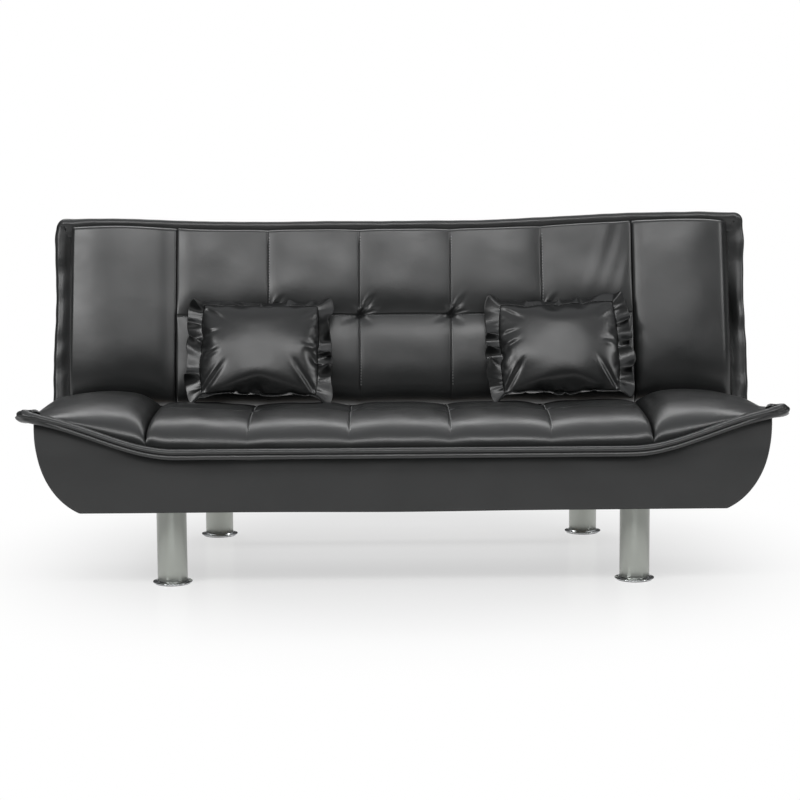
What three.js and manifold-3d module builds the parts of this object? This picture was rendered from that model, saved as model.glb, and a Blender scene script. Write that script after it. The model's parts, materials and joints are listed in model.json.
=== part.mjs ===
// A three-seat futon sofa bed. A boat-shaped seat box stands on a steel underframe with four tubular legs.
// The backrest turns on two ratchet hinges, from upright down to level with the seat. Two pillows lean on it.
// Millimetres and degrees. X runs across the sofa, Y from its front to its back, and Z is up from the floor.
import * as THREE from "three";
import { mergeVertices } from "three/addons/utils/BufferGeometryUtils.js";
import Module from "manifold-3d";

const wasm = await Module();
wasm.setup();

// Driving dimensions
const OVERALL_WIDTH = 1830; // over the corners of the seat lip
const SEAT_DEPTH = 513; // front edge of the lip to the rear edge of the seat
const RIM_HEIGHT = 347; // middle of the lip, at the middle of the sofa
const RIM_RISE = 92; // how much higher the lip stands at the two ends
const REAR_DROP = 0.55; // share of that rise lost at the rear
const RIM_STRAIGHT = 545; // half the width over which the lip runs level
const LIP_THICKNESS = 16;
const LIP_REACH = 45; // how far the lip stands out from under the padding
const SEAT_PADDING = 74; // lip to crown
const BOX_BOTTOM = 197;
const BOX_RAKE = 26; // the front panel's foot stands this far behind its top
const SKIN = 5; // leatherette with its wadding
const FILL_GAP = 3; // between a cover and the foam inside it
const PANEL_PITCH = 242; // width of one quilted square
const WING_SEAM = 2.5 * PANEL_PITCH; // where the quilted middle meets the plain wings
const BACK_LENGTH = 508; // hinge axis to the top of the backrest lip
const FACE_RISE = 12; // the backrest's face stands this far in front of the hinge axis
const BACK_THICKNESS = 150; // hinge axis to the backrest's rear face
const BACK_WIDTH = 1814; // over the backrest lip
const BACK_LEAN = 18; // upright position, from vertical
const WING_PROUD = 18; // how far the backrest's wings stand in front of its middle
const HINGE_Y = 527;
const HINGE_Z = 388;
const HINGE_X = 679; // the plane in which each hinge's two plates meet
const PLATE = 4; // thickness of a hinge plate
const LEG_RADIUS = 37;
const FRONT_LEG = { x: 572, y: 175 };
const REAR_LEG = { x: 497, y: 775 };
const BOARD = 20; // thickness of the timber rails
const RAIL_HEIGHT = 25; // underframe tubes
const RAIL_WIDTH = 40;
const TUBE_WALL = 1.5;
const PILLOW_WIDTH = 400;
const PILLOW_HEIGHT = 280;
const PILLOW_X = [-373, 400];
const GAP = 0.3; // between pieces that touch

const { degToRad, smoothstep, lerp } = THREE.MathUtils;
const SIDES = [
  ["left", -1],
  ["right", 1],
];

// ---- Materials ----
function surface(color, roughness, metalness) {
  return new THREE.MeshStandardMaterial({ color, roughness, metalness });
}

const leatherette = surface(0x2b2c2e, 0.42, 0);
const foam = surface(0xe8dfc4, 0.95, 0);
const timber = surface(0xc39a66, 0.8, 0);
const blackSteel = surface(0x232426, 0.5, 0.7);
const zincSteel = surface(0x9a9da0, 0.4, 0.9);
const satinSteel = surface(0xa4a8a4, 0.38, 0.85);
const chrome = surface(0xe2e4e6, 0.08, 1);
const rubber = surface(0x151515, 0.9, 0);
const webbingFabric = surface(0x1c1c1e, 0.9, 0);

// ---- Solids ----
function solid(geometry) {
  const bare = new THREE.BufferGeometry().setAttribute("position", geometry.getAttribute("position").clone());
  if (geometry.index) bare.setIndex(geometry.index.clone());
  const merged = mergeVertices(bare, 1e-3);
  const vertProperties = merged.getAttribute("position").array;
  const triVerts = new Uint32Array(merged.index.array);
  return new wasm.Manifold(new wasm.Mesh({ numProp: 3, vertProperties, triVerts }));
}

function geometryOf(manifold) {
  const mesh = manifold.getMesh();
  const geometry = new THREE.BufferGeometry();
  geometry.setAttribute("position", new THREE.BufferAttribute(mesh.vertProperties, 3));
  geometry.setIndex(new THREE.BufferAttribute(mesh.triVerts, 1));
  geometry.computeVertexNormals();
  return geometry;
}

function cut(geometry, ...tools) {
  return geometryOf(tools.reduce((left, tool) => left.subtract(solid(tool)), solid(geometry)));
}

function join(geometry, ...others) {
  return geometryOf(others.reduce((sum, other) => sum.add(solid(other)), solid(geometry)));
}

// A box given by its lowest and highest values along each axis.
function block([x0, x1], [y0, y1], [z0, z1]) {
  const geometry = new THREE.BoxGeometry(x1 - x0, y1 - y0, z1 - z0);
  return geometry.translate((x0 + x1) / 2, (y0 + y1) / 2, (z0 + z1) / 2);
}

// A cylinder whose axis runs along X, between two values of x.
function pinAlongX(radius, [x0, x1], y, z, sides = 16) {
  const geometry = new THREE.CylinderGeometry(radius, radius, Math.abs(x1 - x0), sides);
  return geometry.rotateZ(Math.PI / 2).translate((x0 + x1) / 2, y, z);
}

function extrude(shape, depth) {
  return new THREE.ExtrudeGeometry(shape, { depth, bevelEnabled: false, curveSegments: 10 });
}

// Extrudes an outline drawn in X and Z, from y0 back to y1.
function extrudeAlongY(shape, [y0, y1]) {
  return extrude(shape, y1 - y0)
    .rotateX(Math.PI / 2)
    .translate(0, y1, 0);
}

// Extrudes an outline drawn in Y and Z, between two values of x.
function extrudeAlongX(shape, [x0, x1]) {
  const drawnToWorld = new THREE.Matrix4().set(0, 0, 1, 0, 1, 0, 0, 0, 0, 1, 0, 0, 0, 0, 0, 1);
  return extrude(shape, Math.abs(x1 - x0))
    .applyMatrix4(drawnToWorld)
    .translate(Math.min(x0, x1), 0, 0);
}

function moveVertices(geometry, move) {
  const position = geometry.getAttribute("position");
  const point = new THREE.Vector3();
  for (let i = 0; i < position.count; i++) {
    point.fromBufferAttribute(position, i);
    move(point);
    position.setXYZ(i, point.x, point.y, point.z);
  }
  return geometry;
}

// A slab whose top and bottom are height functions of x and y, on a grid of the given values.
function slab(xs, ys, bottom, top) {
  const columns = xs.length - 1;
  const rows = ys.length - 1;
  return moveVertices(new THREE.BoxGeometry(1, 1, 1, columns, rows, 1), (point) => {
    const x = xs[Math.round((point.x + 0.5) * columns)];
    const y = ys[Math.round((point.y + 0.5) * rows)];
    point.set(x, y, point.z > 0 ? top(x, y) : bottom(x, y));
  });
}

const mirrored = (half) => [...half.slice(1).reverse().map((x) => -x), ...half];

// Moves grid values inwards by the same amount at both ends, so that one slab fits inside another.
function inset(values, amount) {
  const [first, last] = [values[0], values[values.length - 1]];
  return values.map((v) => lerp(first + amount, last - amount, (v - first) / (last - first)));
}

// Rises from 0 at the edges of a span to 1 within the given distance, as the shoulder of a cushion does.
function shoulder(value, low, high, distance) {
  const t = Math.min(1, Math.min(value - low, high - value) / distance);
  return Math.sqrt(Math.max(0, 1 - (1 - t) ** 2));
}

// ---- Assembly ----
const sofa = new THREE.Group();
const backrest = new THREE.Group(); // modelled lying flat, with its hinge axis as the X axis
backrest.position.set(0, HINGE_Y, HINGE_Z);
backrest.rotation.x = degToRad(90 - BACK_LEAN);
sofa.add(backrest);

function add(parent, name, geometry, material) {
  const mesh = new THREE.Mesh(geometry, material);
  mesh.name = name;
  parent.add(mesh);
  return mesh;
}

// ---- Seat padding ----
function rimHeight(x, y) {
  const climb = RIM_RISE * smoothstep(Math.abs(x), RIM_STRAIGHT, OVERALL_WIDTH / 2 + 15);
  return RIM_HEIGHT + climb * (1 - (REAR_DROP * y) / SEAT_DEPTH);
}

const SEAT_HALF = OVERALL_WIDTH / 2 - LIP_REACH - 4;
const SEAT_FRONT = LIP_REACH + 1;
const SEAT_XS = mirrored([0, 300, 560, 590, WING_SEAM, 620, 665, 693, 740, 800, 840, SEAT_HALF]);
const SEAT_YS = [SEAT_FRONT, 52, 75, 120, 280, 430, 478, 503, SEAT_DEPTH];
const SEAT_EDGE = 18; // height of the padding's upright edge

function seatTop(x, y) {
  const round = shoulder(y, SEAT_FRONT, SEAT_DEPTH, 70) * shoulder(Math.abs(x), -SEAT_HALF, SEAT_HALF, 60);
  const seam = 20 * Math.exp(-(((Math.abs(x) - WING_SEAM) / 14) ** 2));
  const backFall = 14 * smoothstep(y, 280, SEAT_DEPTH);
  const endFall = 50 * smoothstep(Math.abs(x), 660, 850);
  return rimHeight(x, y) + SEAT_EDGE + (SEAT_PADDING - SEAT_EDGE - seam - backFall - endFall) * round;
}

// The slots through which the hinge plates enter the padding.
function seatHingeSlots(high) {
  return SIDES.map(([, side]) => {
    const span = [side * (HINGE_X - 13), side * (HINGE_X + 13)].sort((a, b) => a - b);
    return block(span, [428, SEAT_DEPTH + 10], [300, high]);
  });
}

function seatCover() {
  const outer = slab(SEAT_XS, SEAT_YS, rimHeight, seatTop);
  const inner = slab(
    inset(SEAT_XS, SKIN),
    inset(SEAT_YS, SKIN),
    (x, y) => rimHeight(x, y) - 10,
    (x, y) => seatTop(x, y) - SKIN,
  );
  return cut(outer, inner, ...seatHingeSlots(HINGE_Z + 32));
}

function seatFoam() {
  const lower = SKIN + FILL_GAP;
  const xs = inset(SEAT_XS, SKIN + 1);
  const ys = inset(SEAT_YS, SKIN + 1);
  const padding = slab(xs, ys, (x, y) => rimHeight(x, y) + 1, (x, y) => seatTop(x, y) - lower);
  return cut(padding, ...seatHingeSlots(HINGE_Z + 100));
}

add(sofa, "seat_cover", seatCover(), leatherette);
add(sofa, "seat_foam", seatFoam(), foam);

// The box below the lip, which the lip's inner edge and the box's rim both follow.
const RIM_CLEARANCE = 1.5; // between the box cover's rim and the lip over it
const BOX_FRONT = 35;
const BOX_REAR = SEAT_DEPTH - 6;
const END_CENTRE = { x: 729, z: 390 }; // of the ellipse that each end curves round
const END_RADII = { x: 150, z: 205 };
const BOX_HALF = END_CENTRE.x + END_RADII.x;
const RIM_XS = [400, RIM_STRAIGHT, 620, 690, 760, 820, OVERALL_WIDTH / 2 - LIP_REACH];

// ---- Seat lip: a stuffed welt round the front and both ends, sewn between padding and box ----
function seatLip() {
  const half = OVERALL_WIDTH / 2;
  const rear = SEAT_DEPTH - 12;
  const lower = (x, y) => rimHeight(x, y) - LIP_THICKNESS / 2;
  const upper = (x, y) => rimHeight(x, y) + LIP_THICKNESS / 2;
  const front = slab(mirrored([0, ...RIM_XS, BOX_HALF, half]), [0, LIP_REACH], lower, upper);
  const ends = [
    slab([-half, -BOX_HALF, LIP_REACH - half], [LIP_REACH - 5, rear], lower, upper),
    slab([half - LIP_REACH, BOX_HALF, half], [LIP_REACH - 5, rear], lower, upper),
  ];
  return join(front, ...ends);
}

add(sofa, "seat_lip", seatLip(), leatherette);

// ---- Seat box: a boat-shaped skin round a timber frame ----
// Half of the front outline's end curve, from the bottom edge up.
function endCurve(shrink) {
  const drop = (END_CENTRE.z - BOX_BOTTOM) / END_RADII.z;
  const curve = new THREE.EllipseCurve(
    END_CENTRE.x,
    END_CENTRE.z,
    END_RADII.x - shrink,
    END_RADII.z,
    -Math.asin(drop),
    0,
  );
  return curve.getPoints(8);
}

function boxOutline(shrink, overshoot) {
  const right = endCurve(shrink);
  const below = overshoot ? [new THREE.Vector2(right[0].x, BOX_BOTTOM - overshoot)] : [];
  const rimXs = [BOX_HALF - shrink, ...RIM_XS.filter((x) => x < BOX_HALF - shrink).reverse()];
  const top = (x) => new THREE.Vector2(x, rimHeight(x, 0) - LIP_THICKNESS / 2 - GAP + overshoot);
  const half = [...below, ...right, ...rimXs.map(top)];
  const leftHalf = half.map((p) => new THREE.Vector2(-p.x, p.y)).reverse();
  return new THREE.Shape([...half, ...leftHalf]);
}

// The box as a solid, its front panel raked back towards the foot.
function boxSolid(shrink, overshoot) {
  const front = BOX_FRONT + shrink;
  const body = extrudeAlongY(boxOutline(shrink, overshoot), [front, BOX_REAR - shrink]);
  return moveVertices(body, (point) => {
    const down = (RIM_HEIGHT - point.z) / (RIM_HEIGHT - BOX_BOTTOM);
    if (point.y < front + 1) point.y += BOX_RAKE * Math.max(0, down);
    const rimDrop = rimHeight(point.x, 0) - rimHeight(point.x, point.y);
    if (down < 0.2) point.z -= rimDrop + RIM_CLEARANCE;
  });
}

// The notches in the box's rear rim through which the hinge plates pass.
function hingeNotches() {
  const across = (side) => [side * HINGE_X - 8, side * HINGE_X + 8];
  const depth = [BOX_REAR - 40, BOX_REAR + 10];
  return SIDES.map(([, side]) => block(across(side), depth, [RIM_HEIGHT - 25, HINGE_Z]));
}

function boxCover() {
  const railNotches = SIDES.map(([, side]) =>
    block(
      [side * REAR_LEG.x - RAIL_WIDTH / 2 - 2, side * REAR_LEG.x + RAIL_WIDTH / 2 + 2],
      [BOX_REAR - 40, BOX_REAR + 10],
      [BOX_BOTTOM - 10, BOX_BOTTOM + RAIL_HEIGHT + 2],
    ),
  );
  return cut(boxSolid(0, 0), boxSolid(SKIN, 60), ...railNotches, ...hingeNotches());
}

add(sofa, "box_cover", boxCover(), leatherette);

const FRAME_BOTTOM = BOX_BOTTOM + RAIL_HEIGHT + 2;
const PLY = 9;
const FRAME_FLOOR = FRAME_BOTTOM + PLY + GAP;
const FRAME_TOP = RIM_HEIGHT - 4.5;
const FRAME_HALF = 745;
const FRONT_RAIL_Y = [72, 72 + BOARD];
const REAR_RAIL_Y = [BOX_REAR - SKIN - GAP - BOARD, BOX_REAR - SKIN - GAP];

const frameSpan = [-FRAME_HALF, FRAME_HALF];
const railZ = [FRAME_FLOOR, FRAME_TOP];
const panelY = [FRONT_RAIL_Y[0], REAR_RAIL_Y[1]];
add(sofa, "bottom_panel", block(frameSpan, panelY, [FRAME_BOTTOM, FRAME_BOTTOM + PLY]), timber);
add(sofa, "front_rail", block(frameSpan, FRONT_RAIL_Y, railZ), timber);
add(sofa, "rear_rail", cut(block(frameSpan, REAR_RAIL_Y, railZ), ...hingeNotches()), timber);

const BETWEEN_RAILS = [FRONT_RAIL_Y[1] + GAP, REAR_RAIL_Y[0] - GAP];
const centreRail = block([-BOARD / 2, BOARD / 2], BETWEEN_RAILS, [FRAME_FLOOR, FRAME_TOP - 25]);
add(sofa, "centre_rail", centreRail, timber);

// Bent plywood that carries the wing padding and gives each end its curve.
const FORMER_TOP = 380;
function endFormer(side) {
  const outer = endCurve(SKIN + 1).filter((p) => p.y > FRAME_BOTTOM && p.y < FORMER_TOP);
  const inner = outer.map((p) => new THREE.Vector2(p.x - 12, p.y)).reverse();
  const shape = new THREE.Shape([...outer, ...inner]);
  const former = extrudeAlongY(shape, [72, REAR_RAIL_Y[1]]);
  return side > 0 ? former : former.rotateZ(Math.PI).translate(0, 72 + REAR_RAIL_Y[1], 0);
}

for (const [name, side] of SIDES) {
  const inner = side * (HINGE_X + PLATE + 2 * GAP);
  const span = [inner, inner + side * BOARD].sort((a, b) => a - b);
  const railTop = rimHeight(inner, BETWEEN_RAILS[1]) - 2;
  add(sofa, `hinge_rail_${name}`, block(span, BETWEEN_RAILS, [FRAME_FLOOR, railTop]), timber);
  add(sofa, `end_former_${name}`, endFormer(side), timber);
}

// ---- Seat springs: zigzag wires from rail to rail, tied together by two cross wires ----
const WIRE = 2;
const SPRING_Z = FRAME_TOP + WIRE + GAP;
const SPRING_XS = [-2, -1, 0, 1, 2].map((column) => column * PANEL_PITCH);

// The section of a wire, as a square standing on its corners.
function squareSection(radius) {
  return new THREE.Shape([
    new THREE.Vector2(radius, 0),
    new THREE.Vector2(0, radius),
    new THREE.Vector2(-radius, 0),
    new THREE.Vector2(0, -radius),
  ]);
}

function zigzagSpring(x) {
  const bends = 12;
  const swing = 24;
  const points = [];
  for (let i = 0; i <= bends; i++) {
    const offset = i === 0 || i === bends ? 0 : (i % 2 ? 1 : -1) * swing;
    const y = lerp(FRONT_RAIL_Y[0] + 6, REAR_RAIL_Y[1] - 6, i / bends);
    points.push(new THREE.Vector3(x + offset, y, SPRING_Z));
  }
  const extrudePath = new THREE.CatmullRomCurve3(points);
  return new THREE.ExtrudeGeometry(squareSection(WIRE), { steps: 1.5 * bends, extrudePath });
}

function seatSprings() {
  const half = SPRING_XS[SPRING_XS.length - 1] + 30;
  const tieZ = [SPRING_Z - 1, SPRING_Z + 1];
  const [frontTie, rearTie] = [200, 380].map((y) => block([-half, half], [y - WIRE / 2, y + WIRE / 2], tieZ));
  return join(frontTie, ...SPRING_XS.map(zigzagSpring), rearTie);
}

add(sofa, "seat_springs", seatSprings(), blackSteel);

// ---- Underframe and legs ----
const TUBE_Z = [BOX_BOTTOM + GAP, BOX_BOTTOM + RAIL_HEIGHT];

// A rectangular steel tube, open at both ends.
function tube(xs, ys, alongX) {
  const outer = block(xs, ys, TUBE_Z);
  const shrink = ([low, high]) => [low + TUBE_WALL, high - TUBE_WALL];
  const pass = ([low, high]) => [low - 1, high + 1];
  return cut(outer, block(alongX ? pass(xs) : shrink(xs), alongX ? shrink(ys) : pass(ys), shrink(TUBE_Z)));
}

const halfRail = RAIL_WIDTH / 2;
const frontTubeX = FRONT_LEG.x + 55;
const frontTubeY = [FRONT_LEG.y - halfRail, FRONT_LEG.y + halfRail];
const rearTubeX = REAR_LEG.x - halfRail - GAP;
const rearTubeY = [REAR_LEG.y - halfRail, REAR_LEG.y + halfRail];
const railY = [frontTubeY[1] + GAP, REAR_LEG.y + RAIL_WIDTH];
add(sofa, "front_cross_tube", tube([-frontTubeX, frontTubeX], frontTubeY, true), blackSteel);
add(sofa, "rear_cross_tube", tube([-rearTubeX, rearTubeX], rearTubeY, true), blackSteel);

const FOOT_PAD_HEIGHT = 2.5;
const FLANGE_RADIUS = 49;
const LEG_SIDES = 24;

// Turns a profile of radius and height about the upright axis.
function turned(profile, sides = LEG_SIDES) {
  const points = profile.map(([radius, z]) => new THREE.Vector2(radius, z));
  return new THREE.LatheGeometry(points, sides).rotateX(Math.PI / 2);
}

// A leg's tube with the mounting plate that is welded to its top.
function leg() {
  const plate = 4;
  const top = BOX_BOTTOM;
  const foot = FOOT_PAD_HEIGHT + 3;
  return turned([
    [0, top - plate],
    [LEG_RADIUS - TUBE_WALL, top - plate],
    [LEG_RADIUS - TUBE_WALL, foot],
    [LEG_RADIUS, foot],
    [LEG_RADIUS, top - plate],
    [LEG_RADIUS + 9, top - plate],
    [LEG_RADIUS + 9, top],
    [0, top],
  ]);
}

// The chromed base plate, with a low collar that the tube stands in.
function footFlange() {
  const bottom = FOOT_PAD_HEIGHT + GAP;
  return turned([
    [0, bottom],
    [FLANGE_RADIUS - 1, bottom],
    [FLANGE_RADIUS, bottom + 1.2],
    [FLANGE_RADIUS - 2, bottom + 2.4],
    [LEG_RADIUS + 4, bottom + 4],
    [LEG_RADIUS + 2, bottom + 8],
    [LEG_RADIUS + GAP, bottom + 8],
    [LEG_RADIUS + GAP, bottom + 2.4],
    [0, bottom + 2.4],
  ]);
}

const legPlaces = [
  ["front_left", -FRONT_LEG.x, FRONT_LEG.y],
  ["front_right", FRONT_LEG.x, FRONT_LEG.y],
  ["rear_left", -REAR_LEG.x, REAR_LEG.y],
  ["rear_right", REAR_LEG.x, REAR_LEG.y],
];
for (const [place, x, y] of legPlaces) {
  add(sofa, `leg_${place}`, leg(), satinSteel).position.set(x, y, 0);
  add(sofa, `foot_flange_${place}`, footFlange(), chrome).position.set(x, y, 0);
  const pad = new THREE.CylinderGeometry(FLANGE_RADIUS - 4, FLANGE_RADIUS - 4, FOOT_PAD_HEIGHT, LEG_SIDES);
  add(sofa, `foot_pad_${place}`, pad.rotateX(Math.PI / 2), rubber).position.set(x, y, FOOT_PAD_HEIGHT / 2);
}

// Rubber buffers on the rails, on which the lowered backrest comes to rest.
const BUMPER_Y = HINGE_Y + 190;
function bumper() {
  const height = HINGE_Z - BACK_THICKNESS - 1 - (BOX_BOTTOM + RAIL_HEIGHT + GAP);
  const profile = [
    [0, 0],
    [17, 0],
    [15, 6],
    [12, height - 10],
    [15, height - 4],
    [12, height],
    [0, height],
  ];
  return turned(profile, 20);
}

for (const [name, side] of SIDES) {
  const x = side * REAR_LEG.x;
  add(sofa, `underframe_rail_${name}`, tube([x - halfRail, x + halfRail], railY, false), blackSteel);
  add(sofa, `bumper_${name}`, bumper(), rubber).position.set(x, BUMPER_Y, BOX_BOTTOM + RAIL_HEIGHT + GAP);
}

// ---- Ratchet hinges ----
const PIVOT_RADIUS = 5;
const RATCHET_RADIUS = 20;
const ARM_HALF = 15; // half the width of a hinge plate
const PAWL_PIVOT = { y: -44, z: -26 }; // from the hinge axis
const PAWL_BORE = 4.3;
const NOTCH_ANGLES = [0, -36, -72]; // upright, reclined, flat
const SCREW_STEPS = [0.35, 0.65, 0.95]; // along a hinge plate's far leg

// A plate that starts at the hinge axis and follows a cranked centre line, with screw holes in its far leg.
function crankedArm(elbow, end, xSpan, screwSteps) {
  const legs = [
    [{ y: 0, z: 0 }, elbow],
    [elbow, end],
  ].map(([from, to]) => {
    const length = Math.hypot(to.y - from.y, to.z - from.z);
    const bar = block(xSpan, [0, length], [-ARM_HALF, ARM_HALF]);
    return bar.rotateX(Math.atan2(to.z - from.z, to.y - from.y)).translate(0, from.y, from.z);
  });
  const wide = [xSpan[0] - 5, xSpan[1] + 5];
  const screwHoles = screwSteps.map((t) => {
    return pinAlongX(2.6, wide, lerp(elbow.y, end.y, t), lerp(elbow.z, end.z, t), 10);
  });
  const bosses = [
    [RATCHET_RADIUS - 2, { y: 0, z: 0 }],
    [ARM_HALF + 1.5, elbow],
    [ARM_HALF + 1.5, end],
  ].map(([radius, at]) => pinAlongX(radius, xSpan, at.y, at.z));
  const plate = join(legs[0], legs[1], ...bosses);
  return cut(plate, pinAlongX(PIVOT_RADIUS + GAP, wide, 0, 0), ...screwHoles);
}

// The disc on the end of the backrest's hinge plate, and the cuts for its bore and its three notches.
const discBlank = (xSpan) => pinAlongX(RATCHET_RADIUS, xSpan, 0, 0, 32);

function discCuts(xSpan) {
  const pawlAngle = THREE.MathUtils.radToDeg(Math.atan2(PAWL_PIVOT.z, PAWL_PIVOT.y));
  const restTurn = 90 - BACK_LEAN; // the disc is modelled flat, and stands this much turned at rest
  const notches = NOTCH_ANGLES.map((angle) => {
    const at = degToRad(pawlAngle - restTurn - angle);
    const tooth = block([xSpan[0] - 1, xSpan[1] + 1], [-3, 3], [-3, 3]);
    return tooth
      .rotateX(at + degToRad(45))
      .translate(0, (RATCHET_RADIUS + 0.5) * Math.cos(at), (RATCHET_RADIUS + 0.5) * Math.sin(at));
  });
  const bore = pinAlongX(PIVOT_RADIUS + GAP, [xSpan[0] - 1, xSpan[1] + 1], 0, 0);
  return [...notches, bore];
}

// The catch that rides on the ratchet disc, lying just clear of its teeth.
function pawl(xSpan) {
  const reach = Math.hypot(PAWL_PIVOT.y, PAWL_PIVOT.z) - RATCHET_RADIUS - 0.6;
  const outline = new THREE.Shape(
    [
      [-9, -5],
      [0, -8],
      [reach - 3, -4],
      [reach, 0],
      [reach - 3, 4],
      [0, 8],
      [-9, 5],
    ].map(([y, z]) => new THREE.Vector2(y, z)),
  );
  const lever = extrudeAlongX(outline, xSpan).rotateX(Math.atan2(-PAWL_PIVOT.z, -PAWL_PIVOT.y));
  return cut(lever, pinAlongX(PAWL_BORE, [xSpan[0] - 1, xSpan[1] + 1], 0, 0, 16));
}

// A torsion spring of flat-ended coils round the pawl's stud.
function pawlSpring(centreX) {
  const turns = 3;
  const steps = 8 * turns;
  const radius = 7;
  const points = [];
  for (let i = 0; i <= steps; i++) {
    const angle = (i / steps) * turns * 2 * Math.PI;
    const x = centreX + lerp(-2.4, 2.4, i / steps);
    points.push(new THREE.Vector3(x, radius * Math.cos(angle), radius * Math.sin(angle)));
  }
  const extrudePath = new THREE.CatmullRomCurve3(points);
  return new THREE.ExtrudeGeometry(squareSection(0.6), { steps, extrudePath });
}

for (const [name, side] of SIDES) {
  const layer = (from, to) => [side * (HINGE_X + from), side * (HINGE_X + to)].sort((a, b) => a - b);
  const seatLayer = layer(GAP, PLATE);
  const backLayer = layer(-PLATE, 0);
  const at = (mesh) => mesh.position.set(0, HINGE_Y, HINGE_Z);

  const seatElbow = { y: -76, z: -66 };
  const seatEnd = { y: -235, z: -92 };
  const stud = pinAlongX(4, layer(-10.5, 1), PAWL_PIVOT.y, PAWL_PIVOT.z, 16);
  const seatArm = join(crankedArm(seatElbow, seatEnd, seatLayer, SCREW_STEPS), stud);
  at(add(sofa, `seat_arm_${name}`, seatArm, zincSteel));

  const plate = crankedArm({ y: 62, z: -67 }, { y: 225, z: -67 }, backLayer, SCREW_STEPS);
  const besideDisc = cut(plate, pinAlongX(RATCHET_RADIUS - 4, [backLayer[0] - 1, backLayer[1] + 1], 0, 0));
  const backArm = cut(join(besideDisc, discBlank(backLayer)), ...discCuts(backLayer));
  add(backrest, `back_arm_${name}`, backArm, zincSteel);

  const shank = pinAlongX(PIVOT_RADIUS, layer(-PLATE - 1, PLATE + 9), 0, 0);
  const head = pinAlongX(9, layer(-PLATE - 6, -PLATE - GAP), 0, 0, 6);
  at(add(sofa, `pivot_bolt_${name}`, join(shank, head), zincSteel));
  const nutBlank = pinAlongX(9, layer(PLATE + GAP, PLATE + 7), 0, 0, 6);
  const nut = cut(nutBlank, pinAlongX(PIVOT_RADIUS + GAP, layer(0, 20), 0, 0));
  at(add(sofa, `pivot_nut_${name}`, nut, zincSteel));

  const onStud = (mesh) => mesh.position.set(0, HINGE_Y + PAWL_PIVOT.y, HINGE_Z + PAWL_PIVOT.z);
  onStud(add(sofa, `pawl_${name}`, pawl(backLayer), zincSteel));
  onStud(add(sofa, `pawl_spring_${name}`, pawlSpring(side * (HINGE_X - PLATE - 3.6)), zincSteel));
}

// ---- Backrest, lying flat about its hinge axis: y runs along it, and its face looks up ----
const PAD_END = BACK_LENGTH - 34;
const PAD_START = 9;
const BACK_HALF = 865;
const BACK_BED = -40; // the padding's underside
const BACK_EDGE = 27; // height of the padding's upright edge
const BACK_XS = mirrored([0, 300, 560, 590, WING_SEAM, 620, 665, 693, 760, 820, 850, BACK_HALF]);
const BACK_YS = [PAD_START, 16, 40, 90, 230, 380, 430, 451, PAD_END];

function backTop(x, y) {
  const inWing = smoothstep(Math.abs(x), WING_SEAM, WING_SEAM + 40);
  const round = shoulder(y, PAD_START, PAD_END, 60) * shoulder(Math.abs(x), -BACK_HALF, BACK_HALF, 45);
  const seam = 24 * Math.exp(-(((Math.abs(x) - WING_SEAM) / 14) ** 2));
  const wing = WING_PROUD * inWing * shoulder(y, PAD_START, PAD_END, 110);
  return BACK_BED + BACK_EDGE + (FACE_RISE - BACK_BED - BACK_EDGE - seam + wing) * round;
}

function backHingeSlots() {
  return SIDES.map(([, side]) => {
    const span = [side * (HINGE_X - 13), side * (HINGE_X + 13)].sort((a, b) => a - b);
    return block(span, [-5, 66], [BACK_BED - 20, FACE_RISE + 14]);
  });
}

function backFrontCover() {
  const outer = slab(BACK_XS, BACK_YS, () => BACK_BED, backTop);
  const inner = slab(
    inset(BACK_XS, SKIN),
    inset(BACK_YS, SKIN),
    () => BACK_BED - 10,
    (x, y) => backTop(x, y) - SKIN,
  );
  return cut(outer, inner, ...backHingeSlots());
}

function backFoam() {
  const lower = SKIN + FILL_GAP;
  const xs = inset(BACK_XS, SKIN + 1);
  const ys = inset(BACK_YS, SKIN + 1);
  const padding = slab(xs, ys, () => BACK_BED + 1, (x, y) => backTop(x, y) - lower);
  return cut(padding, ...backHingeSlots());
}

add(backrest, "back_front_cover", backFrontCover(), leatherette);
add(backrest, "back_foam", backFoam(), foam);

// A tray of leatherette that closes the backrest's rear, with softly rounded corners.
const TRAY_HALF = 880;
const TRAY_END = PAD_END + 10;
const TRAY_RIM = BACK_BED - GAP;

function traySolid(shrink, top) {
  const xs = mirrored([0, 600, 820, 862, TRAY_HALF]);
  const ys = [PAD_START, 24, 60, 240, TRAY_END - 50, TRAY_END - 14, TRAY_END];
  const depth = BACK_THICKNESS - shrink + TRAY_RIM;
  const bottom = (x, y) => {
    const alongY = shoulder(y, PAD_START + shrink, TRAY_END - shrink, 50);
    const alongX = shoulder(x, shrink - TRAY_HALF, TRAY_HALF - shrink, 60);
    return TRAY_RIM - 40 - (depth - 40) * alongX * alongY;
  };
  return slab(inset(xs, shrink), inset(ys, shrink), bottom, () => top);
}

add(backrest, "back_rear_cover", cut(traySolid(0, TRAY_RIM), traySolid(SKIN, 0)), leatherette);

// The welt round the top and both sides of the backrest, sewn between its front and rear covers.
function backLip() {
  const outerHalf = BACK_WIDTH / 2;
  const innerHalf = BACK_HALF + 2;
  const innerEnd = PAD_END + 2;
  const outline = [
    [-outerHalf, PAD_START + 4],
    [-innerHalf, PAD_START + 4],
    [-innerHalf, innerEnd],
    [innerHalf, innerEnd],
    [innerHalf, PAD_START + 4],
    [outerHalf, PAD_START + 4],
    [outerHalf, BACK_LENGTH],
    [-outerHalf, BACK_LENGTH],
  ];
  const shape = new THREE.Shape(outline.map(([x, y]) => new THREE.Vector2(x, y)));
  return extrude(shape, LIP_THICKNESS).translate(0, 0, BACK_BED);
}

add(backrest, "back_lip", backLip(), leatherette);

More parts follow.
